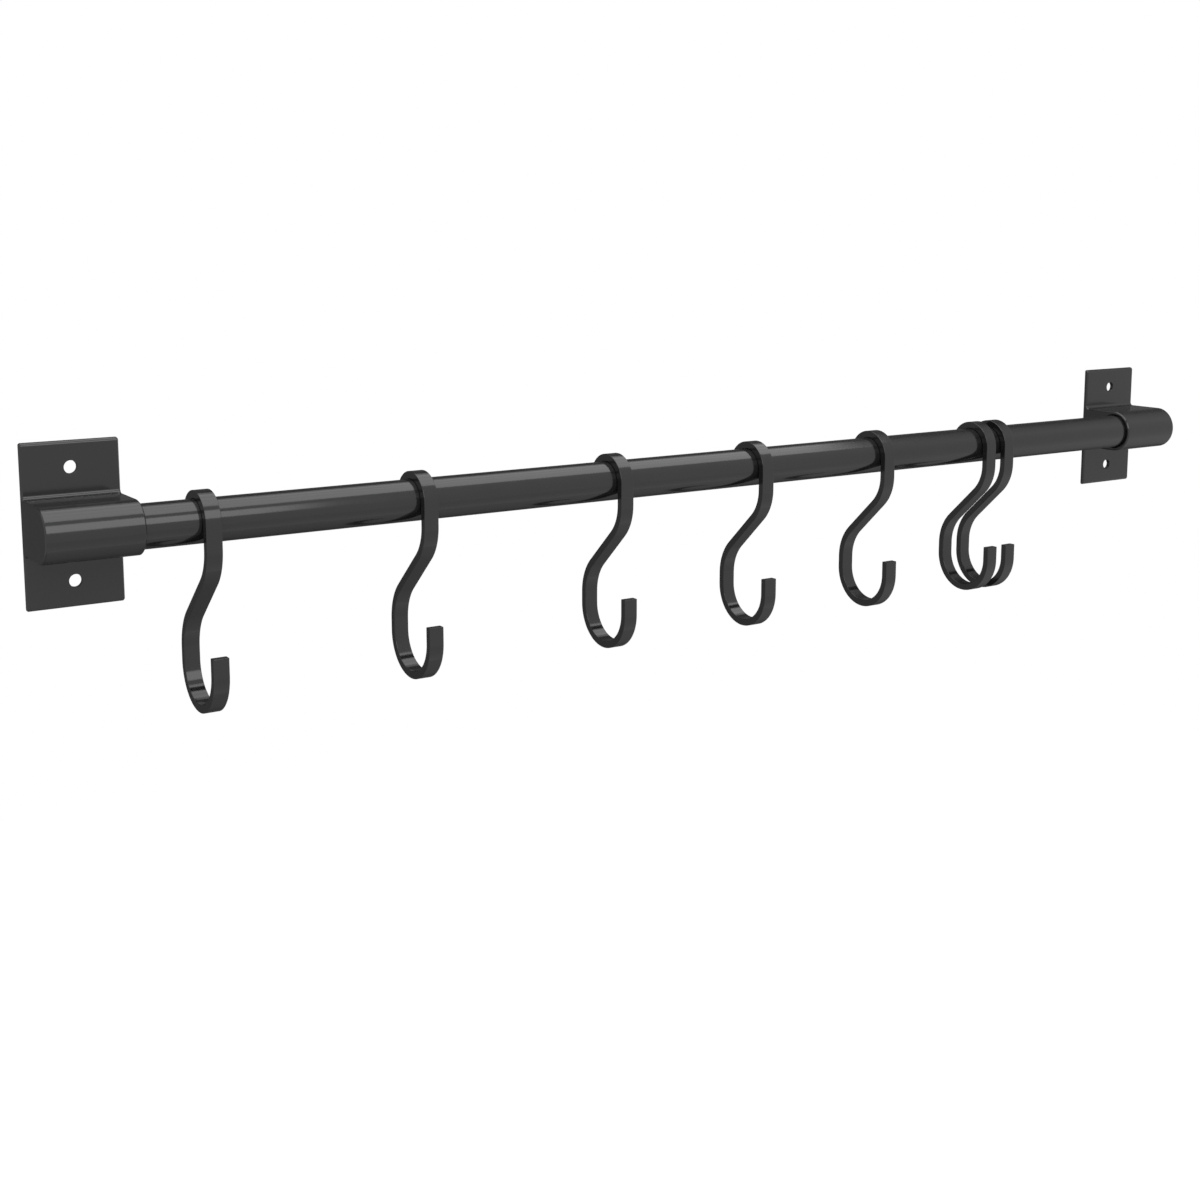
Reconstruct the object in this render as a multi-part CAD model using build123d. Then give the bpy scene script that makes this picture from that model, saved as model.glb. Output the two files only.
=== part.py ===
# Kitchen utensil rail for a wall: a round tube held at both ends in cast brackets, with seven
# flat-bar S-hooks threaded on it.
# Units are millimetres. The wall is the plane Y = 0 and the room is on the -Y side, +Z is up and
# +X runs along the rail. The origin is the centre of the four screw holes, on the wall.
from build123d import *
import os

# Overall layout
overall_length = 580.0  # outer edge of one bracket to the outer edge of the other
wall_to_tube_axis = 20.0

# Tube
tube_diameter = 16.4
tube_wall = 1.2
tube_end_chamfer = 0.4

# Brackets
plate_width = 35.0
plate_height = 60.0
plate_thickness = 2.0
plate_edge_round = 1.3  # along the front of the top and bottom edges
screw_hole_diameter = 4.8
screw_hole_inset = 9.5  # hole centre to the nearest end of the plate
barrel_wall = 1.7  # metal around the socket's bore
barrel_root_fillet = 1.5
barrel_edge_chamfer = 0.5
socket_clearance = 0.1  # radial, between the tube and its socket
socket_depth = 24.0
socket_mouth_chamfer = 0.4
tube_end_gap = 0.25  # between the tube's end and the socket's floor

# Hooks
bar_width = 6.0
bar_thickness = 3.0
loop_clearance = 0.4  # radial, between the loop and the tube
loop_seat_gap = 0.1  # under the top of the loop, where the hook hangs on the tube
loop_tail_angle = 54.0  # how far the loop's end goes below the tube's axis at the back
stem_length = 8.9
shoulder_bend_radius = 17.2  # middle of the bar, like the radii below
lean_angle = 47.4
lean_length = 21.3
back_bend_radius = 18.7
back_length = 4.8
bowl_radius = 15.0
tip_length = 6.8
# Places along the free tube, from 0 at the left bracket to 1 at the right one
hook_places = (0.046, 0.2156, 0.3929, 0.5377, 0.6767, 0.8045, 0.8281)

# Sizes that follow from the ones above
tube_radius = tube_diameter / 2
socket_radius = tube_radius + socket_clearance
barrel_radius = socket_radius + barrel_wall
bracket_inner_x = overall_length / 2 - plate_width
hole_z = plate_height / 2 - screw_hole_inset
loop_radius = tube_radius + loop_clearance + bar_thickness / 2
loop_drop = loop_clearance - loop_seat_gap


def rail_tube():
    """Round tube along X, open at both ends, chamfered where it enters the sockets."""
    length = 2 * (bracket_inner_x + socket_depth - tube_end_gap)
    section = Circle(tube_radius) - Circle(tube_radius - tube_wall)
    tube = extrude(Plane.YZ * section, length / 2, both=True)
    outer_ends = tube.edges().filter_by(GeomType.CIRCLE).sort_by(SortBy.RADIUS)[-2:]
    tube = chamfer(outer_ends, tube_end_chamfer)
    return Pos(0, -wall_to_tube_axis, 0) * tube


def barrel_section():
    """U-shaped side view of the barrel: flat top and bottom, round nose around the tube."""
    sides = Pos(-wall_to_tube_axis / 2, 0) * Rectangle(wall_to_tube_axis, 2 * barrel_radius)
    return sides + Pos(-wall_to_tube_axis, 0) * Circle(barrel_radius)


def left_bracket():
    """One casting: a plate with two screw holes and a barrel that closes over the tube's end."""
    outer_x = -overall_length / 2
    middle_x = outer_x + plate_width / 2
    plate = Pos(middle_x, -plate_thickness / 2, 0) * Box(plate_width, plate_thickness, plate_height)
    front_edges = plate.edges().filter_by(Axis.X).group_by(Axis.Y)[0]
    plate = fillet(front_edges, plate_edge_round)
    barrel = Pos(outer_x, 0, 0) * extrude(Plane.YZ * barrel_section(), plate_width)
    casting = plate + barrel

    roots = [
        edge
        for edge in casting.edges().filter_by(Axis.X)
        if abs(edge.center().Y + plate_thickness) < 0.01 and abs(abs(edge.center().Z) - barrel_radius) < 0.01
    ]
    casting = fillet(roots, barrel_root_fillet)
    ends = [
        edge
        for edge in casting.edges()
        if abs(abs(edge.center().X - middle_x) - plate_width / 2) < 0.01 and edge.center().Y < -0.01
        and abs(edge.tangent_at(0.5).X) < 0.01
    ]
    casting = chamfer(ends, barrel_edge_chamfer)

    for z in (-hole_z, hole_z):
        hole = Cylinder(screw_hole_diameter / 2, 4 * plate_thickness, rotation=(90, 0, 0))
        casting -= Pos(middle_x, 0, z) * hole

    socket = Plane.YZ * Circle(socket_radius)
    casting -= Pos(-bracket_inner_x - socket_depth, -wall_to_tube_axis, 0) * extrude(socket, socket_depth)
    socket_edges = casting.edges().filter_by(GeomType.CIRCLE).filter_by(
        lambda edge: abs(edge.radius - socket_radius) < 0.001
    )
    return chamfer(socket_edges.sort_by(Axis.X)[-1], socket_mouth_chamfer)


def hook_path():
    """Middle line of the bar in the YZ plane, from the loop's tail to the tip of the bowl."""
    loop_centre = (-wall_to_tube_axis, -loop_drop)
    loop = CenterArc(loop_centre, loop_radius, -loop_tail_angle, 180 + loop_tail_angle)
    stem_end = loop @ 1 - Vector(0, stem_length)
    stem = Line(loop @ 1, stem_end)
    shoulder = JernArc(stem @ 1, stem % 1, shoulder_bend_radius, lean_angle)
    lean = Line(shoulder @ 1, shoulder @ 1 + lean_length * (shoulder % 1))
    back_bend = JernArc(lean @ 1, lean % 1, back_bend_radius, -lean_angle)
    back = Line(back_bend @ 1, back_bend @ 1 + back_length * (back_bend % 1))
    bowl = JernArc(back @ 1, back % 1, bowl_radius, -180)
    tip = Line(bowl @ 1, bowl @ 1 + tip_length * (bowl % 1))
    return Plane.YZ * Wire([loop, stem, shoulder, lean, back_bend, back, bowl, tip])


def s_hook():
    """Flat bar bent along the hook's path and cut square at both ends."""
    path = hook_path()
    start = Plane(origin=path @ 0, x_dir=(1, 0, 0), z_dir=path % 0)
    return sweep(start * Rectangle(bar_width, bar_thickness), path=path)


def hook_x(place):
    """Middle of a hook along X, with place as the share of the free tube at its left."""
    return -bracket_inner_x + place * 2 * bracket_inner_x


def main():
    os.makedirs("parts", exist_ok=True)
    left = left_bracket()
    pieces = {
        "rail_tube": rail_tube(),
        "left_bracket": left,
        "right_bracket": mirror(left, Plane.YZ),
    }
    hook = s_hook()
    for number, place in enumerate(hook_places, start=1):
        pieces[f"hook_{number}"] = Pos(hook_x(place), 0, 0) * hook
    for name, shape in pieces.items():
        export_step(shape, f"parts/{name}.step")


main()
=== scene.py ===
# Black painted utensil rail with seven S-hooks, in soft studio light.
# Units are metres, in the frame of the CAD model: the rail runs along X, the wall that it
# screws to is the plane Y = 0, the room is on the -Y side and Z is up.
import math

import bpy
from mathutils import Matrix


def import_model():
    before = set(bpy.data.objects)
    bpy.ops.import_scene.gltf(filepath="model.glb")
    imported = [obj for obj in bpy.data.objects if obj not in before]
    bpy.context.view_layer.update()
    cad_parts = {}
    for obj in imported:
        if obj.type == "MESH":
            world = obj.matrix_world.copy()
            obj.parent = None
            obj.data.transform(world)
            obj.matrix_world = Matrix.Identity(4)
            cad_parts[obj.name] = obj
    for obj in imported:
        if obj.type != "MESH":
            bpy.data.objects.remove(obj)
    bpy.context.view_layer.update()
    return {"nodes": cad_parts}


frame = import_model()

MM = 0.001

# Rounded paint edges of the hooks and brackets, which the CAD model leaves sharp
PAINTED_EDGE = 0.2 * MM
EDGE_SEGMENTS = 3
SHARP_ANGLE = math.radians(30)
FLAT_ANGLE = math.radians(0.5)
WELD_DISTANCE = 0.005 * MM

# Paint. Clouds are its slow changes of tone and gloss, and grain is its fine orange peel.
PAINT_DARK = (0.0105, 0.0105, 0.0108, 1)
PAINT_LIGHT = (0.0135, 0.0135, 0.0138, 1)
PAINT_SPECULAR = 0.5
LEAST_ROUGHNESS = 0.10
MOST_ROUGHNESS = 0.16
CLOUD_SCALE = 90.0
CLOUD_DETAIL = 3.0
TUBE_GRAIN = 900.0
BRACKET_GRAIN = 700.0
HOOK_GRAIN = 900.0
GRAIN_DETAIL = 2.0
GRAIN_STRENGTH = 0.06
GRAIN_HEIGHT = 0.1 * MM

# Camera, at the place that the photograph was taken from. The shift is a share of the
# picture's width and keeps the uprights as nearly parallel as they are in the photograph.
CAMERA_PLACE = (-0.44358, -0.60338, 0.10551)
CAMERA_DOWN = math.radians(8.764)
CAMERA_YAW = math.radians(33.286)
CAMERA_SHIFT_Y = -0.0946
SENSOR = 36.0
LENS = 51.167

# Studio. Angles are in degrees round the X axis: 0 is level on the room side, 90 is above
# it and 180 is level behind it. Brightness is 1 for white.
WHITE = (1, 1, 1, 1)
WORLD_BRIGHTNESS = 0.35
FLOOR_Z = -1.5
FLOOR_SIZE = 8.0
FLOOR_COLOUR = (0.8, 0.8, 0.8, 1)
FLOOR_ROUGHNESS = 0.9
FLOOR_GLOW = 0.6  # for the camera and in reflections
FLOOR_EXTRA = 0.2  # on top of it, for the camera alone
SOFTBOX_DISTANCE = 1.0
SOFTBOXES = (
    # name, lowest and highest angle, left and right end, level
    ("front_light", 17, 46, -1.0, 0.22, 2.4),
    ("top_light_front", 62, 80, -1.0, 0.93, 2.05),
    ("top_light_middle", 80, 98, -1.0, 0.93, 1.75),
    ("top_light_back", 98, 119, -1.0, 0.93, 1.2),
)
FLAG_DISTANCE = 1.4
FLAG_STEPS = 18
FLAG_BRIGHTNESS = 0.12
# Where the flags' glow starts to fade and where it ends, each as (place, brightness)
FADE_ALONG_Y = ((-0.9, 0.93), (0.8, FLAG_BRIGHTNESS))
FADE_ALONG_X = ((-1.4, 0.5), (-0.7, FLAG_BRIGHTNESS))
FLAGS = (
    # name, lowest and highest angle, left and right end
    ("back_flag", 130, 300, -1.8, 2.2),
    ("right_flag", -60, 130, 1.27, 2.8),
)


def set_input(node, name, value):
    """Sets one input of a node."""
    node.inputs[name].default_value = value


def noise(tree, place, scale, detail):
    """Noise over the object's own coordinates."""
    texture = tree.nodes.new("ShaderNodeTexNoise")
    set_input(texture, "Scale", scale)
    set_input(texture, "Detail", detail)
    tree.links.new(place.outputs["Object"], texture.inputs["Vector"])
    return texture.outputs["Fac"]


def paint(slot, grain):
    """Satin black paint: fine orange peel, and slow changes of tone and gloss."""
    material = bpy.data.materials.new(slot + "_satin")
    material.use_nodes = True
    tree = material.node_tree
    link = tree.links.new
    shader = tree.nodes["Principled BSDF"]
    place = tree.nodes.new("ShaderNodeTexCoord")
    set_input(shader, "Specular IOR Level", PAINT_SPECULAR)

    cloud = noise(tree, place, CLOUD_SCALE, CLOUD_DETAIL)
    tone = tree.nodes.new("ShaderNodeMix")
    tone.data_type = "RGBA"
    set_input(tone, "A", PAINT_DARK)
    set_input(tone, "B", PAINT_LIGHT)
    link(cloud, tone.inputs["Factor"])
    link(tone.outputs["Result"], shader.inputs["Base Color"])

    gloss = tree.nodes.new("ShaderNodeMapRange")
    set_input(gloss, "To Min", LEAST_ROUGHNESS)
    set_input(gloss, "To Max", MOST_ROUGHNESS)
    link(cloud, gloss.inputs["Value"])
    link(gloss.outputs["Result"], shader.inputs["Roughness"])

    peel = noise(tree, place, grain, GRAIN_DETAIL)
    bump = tree.nodes.new("ShaderNodeBump")
    set_input(bump, "Strength", GRAIN_STRENGTH)
    set_input(bump, "Distance", GRAIN_HEIGHT)
    link(peel, bump.inputs["Height"])
    link(bump.outputs["Normal"], shader.inputs["Normal"])
    return material


def welded_smooth():
    """Node group that joins the split corners of a CAD mesh and drops its stored normals."""
    group = bpy.data.node_groups.new("welded_smooth", "GeometryNodeTree")
    group.interface.new_socket("Geometry", in_out="INPUT", socket_type="NodeSocketGeometry")
    group.interface.new_socket("Geometry", in_out="OUTPUT", socket_type="NodeSocketGeometry")
    link = group.links.new
    start = group.nodes.new("NodeGroupInput")
    end = group.nodes.new("NodeGroupOutput")
    forget = group.nodes.new("GeometryNodeRemoveAttribute")
    set_input(forget, "Name", "custom_normal")
    weld = group.nodes.new("GeometryNodeMergeByDistance")
    set_input(weld, "Distance", WELD_DISTANCE)
    smooth = group.nodes.new("GeometryNodeSetShadeSmooth")
    link(start.outputs[0], forget.inputs["Geometry"])
    link(forget.outputs["Geometry"], weld.inputs["Geometry"])
    link(weld.outputs["Geometry"], smooth.inputs["Geometry"])
    link(smooth.outputs["Geometry"], end.inputs[0])
    return group


def round_edges(node, weld):
    """Rounds the sharp edges of a CAD node, without touching its mesh."""
    node.modifiers.new("weld", "NODES").node_group = weld
    flat = node.modifiers.new("flat", "DECIMATE")
    flat.decimate_type = "DISSOLVE"
    flat.angle_limit = FLAT_ANGLE
    bevel = node.modifiers.new("round", "BEVEL")
    bevel.width = PAINTED_EDGE
    bevel.segments = EDGE_SEGMENTS
    bevel.limit_method = "ANGLE"
    bevel.angle_limit = SHARP_ANGLE
    bevel.miter_outer = "MITER_SHARP"
    normals = node.modifiers.new("normals", "WEIGHTED_NORMAL")
    normals.keep_sharp = True


def dress():
    """Gives every CAD node its paint, and the hooks and brackets rounded edges."""
    paints = {
        "rail_tube": paint("tube_paint", TUBE_GRAIN),
        "left_bracket": paint("bracket_paint", BRACKET_GRAIN),
    }
    paints["right_bracket"] = paints["left_bracket"]
    hook_paint = paint("hook_paint", HOOK_GRAIN)
    weld = welded_smooth()
    for name, node in frame["nodes"].items():
        node.data.materials[0] = paints.get(name, hook_paint)
        if name != "rail_tube":
            round_edges(node, weld)


def math_node(tree, operation, *inputs):
    """Output of a maths node. Each input is a socket or a plain number."""
    node = tree.nodes.new("ShaderNodeMath")
    node.operation = operation
    for number, value in enumerate(inputs):
        if isinstance(value, float):
            node.inputs[number].default_value = value
        else:
            tree.links.new(value, node.inputs[number])
    return node.outputs[0]


def graded(tree, value, start, end):
    """Socket that goes evenly from one level to another. start and end are (value, level)."""
    ramp = tree.nodes.new("ShaderNodeMapRange")
    set_input(ramp, "From Min", start[0])
    set_input(ramp, "From Max", end[0])
    set_input(ramp, "To Min", start[1])
    set_input(ramp, "To Max", end[1])
    tree.links.new(value, ramp.inputs["Value"])
    return ramp.outputs["Result"]


def seen_directly(tree):
    """Socket that is 1 for camera, glossy and transmission rays, and 0 for the rest."""
    rays = tree.nodes.new("ShaderNodeLightPath").outputs
    first = math_node(tree, "MAXIMUM", rays["Is Camera Ray"], rays["Is Glossy Ray"])
    return math_node(tree, "MAXIMUM", first, rays["Is Transmission Ray"])


def round_x_axis(distance, degrees):
    """Y and Z of a point at that distance and angle round the X axis."""
    angle = math.radians(degrees)
    return -distance * math.cos(angle), distance * math.sin(angle)


def studio_mesh(name, points, faces, material):
    """Object of the studio, made from points and faces."""
    mesh = bpy.data.meshes.new(name)
    mesh.from_pydata(points, [], faces)
    mesh.materials.append(material)
    thing = bpy.data.objects.new(name, mesh)
    bpy.context.scene.collection.objects.link(thing)
    return thing


def floor():
    """Pale floor far below the rail, white to the camera and in reflections."""
    material = bpy.data.materials.new("studio_floor")
    material.use_nodes = True
    tree = material.node_tree
    shader = tree.nodes["Principled BSDF"]
    set_input(shader, "Base Color", FLOOR_COLOUR)
    set_input(shader, "Roughness", FLOOR_ROUGHNESS)
    set_input(shader, "Emission Color", WHITE)
    rays = tree.nodes.new("ShaderNodeLightPath").outputs
    glow = math_node(tree, "MULTIPLY", seen_directly(tree), FLOOR_GLOW)
    glow = math_node(tree, "MULTIPLY_ADD", rays["Is Camera Ray"], FLOOR_EXTRA, glow)
    tree.links.new(glow, shader.inputs["Emission Strength"])

    half = FLOOR_SIZE / 2
    outline = ((-half, -half), (half, -half), (half, half), (-half, half))
    corners = [(x, y, FLOOR_Z) for x, y in outline]
    plane = studio_mesh("studio_floor", corners, [(0, 1, 2, 3)], material)


def world():
    """Plain grey light from all round, which the camera and reflections see as white."""
    sky = bpy.data.worlds.new("studio")
    bpy.context.scene.world = sky
    sky.use_nodes = True
    tree = sky.node_tree
    back = tree.nodes["Background"]
    set_input(back, "Color", WHITE)
    brightness = graded(tree, seen_directly(tree), (0.0, WORLD_BRIGHTNESS), (1.0, 1.0))
    tree.links.new(brightness, back.inputs["Strength"])


def flag_paint():
    """Soft glow that fades from below to the back and from the left to the right."""
    material = bpy.data.materials.new("dark_flag")
    material.use_nodes = True
    tree = material.node_tree
    place = tree.nodes.new("ShaderNodeTexCoord")
    split = tree.nodes.new("ShaderNodeSeparateXYZ")
    tree.links.new(place.outputs["Object"], split.inputs["Vector"])
    below = graded(tree, split.outputs["Y"], *FADE_ALONG_Y)
    leftward = graded(tree, split.outputs["X"], *FADE_ALONG_X)
    brightness = math_node(tree, "MAXIMUM", below, leftward)
    glow = tree.nodes.new("ShaderNodeEmission")
    set_input(glow, "Color", WHITE)
    tree.links.new(brightness, glow.inputs["Strength"])
    tree.links.new(glow.outputs[0], tree.nodes["Material Output"].inputs["Surface"])
    return material


def dark_flag(name, low, high, left, right, material):
    """Curved card round the rail, which only reflections see. It keeps them dark."""
    points = []
    for step in range(FLAG_STEPS + 1):
        y, z = round_x_axis(FLAG_DISTANCE, low + (high - low) * step / FLAG_STEPS)
        points += [(left, y, z), (right, y, z)]
    faces = [(2 * step, 2 * step + 1, 2 * step + 3, 2 * step + 2) for step in range(FLAG_STEPS)]
    card = studio_mesh(name, points, faces, material)
    card.visible_camera = False
    card.visible_diffuse = False
    card.visible_shadow = False
    card.visible_transmission = False


def softbox(name, low, high, left, right, level):
    """Rectangular soft light that faces the rail and fills those angles round it.

    Its power is pi watts for each square metre and each unit of level.
    """
    light = bpy.data.lights.new(name, "AREA")
    light.shape = "RECTANGLE"
    light.size = right - left
    light.size_y = 2 * SOFTBOX_DISTANCE * math.tan(math.radians(high - low) / 2)
    light.energy = level * math.pi * light.size * light.size_y
    middle = (low + high) / 2
    lamp = bpy.data.objects.new(name, light)
    lamp.location = ((left + right) / 2, *round_x_axis(SOFTBOX_DISTANCE, middle))
    lamp.rotation_euler = (math.radians(90 - middle), 0, 0)
    lamp.visible_camera = False
    bpy.context.scene.collection.objects.link(lamp)


def camera():
    """Camera at the photograph's viewpoint."""
    lens = bpy.data.cameras.new("camera")
    lens.sensor_width = SENSOR
    lens.lens = LENS
    lens.shift_y = CAMERA_SHIFT_Y
    stand = bpy.data.objects.new("camera", lens)
    stand.location = CAMERA_PLACE
    stand.rotation_euler = (math.pi / 2 - CAMERA_DOWN, 0, -CAMERA_YAW)
    bpy.context.scene.collection.objects.link(stand)
    bpy.context.scene.camera = stand


dress()
floor()
world()
for row in SOFTBOXES:
    softbox(*row)
flag_glow = flag_paint()
for row in FLAGS:
    dark_flag(*row, flag_glow)
camera()
bpy.context.scene.view_settings.view_transform = "Standard"
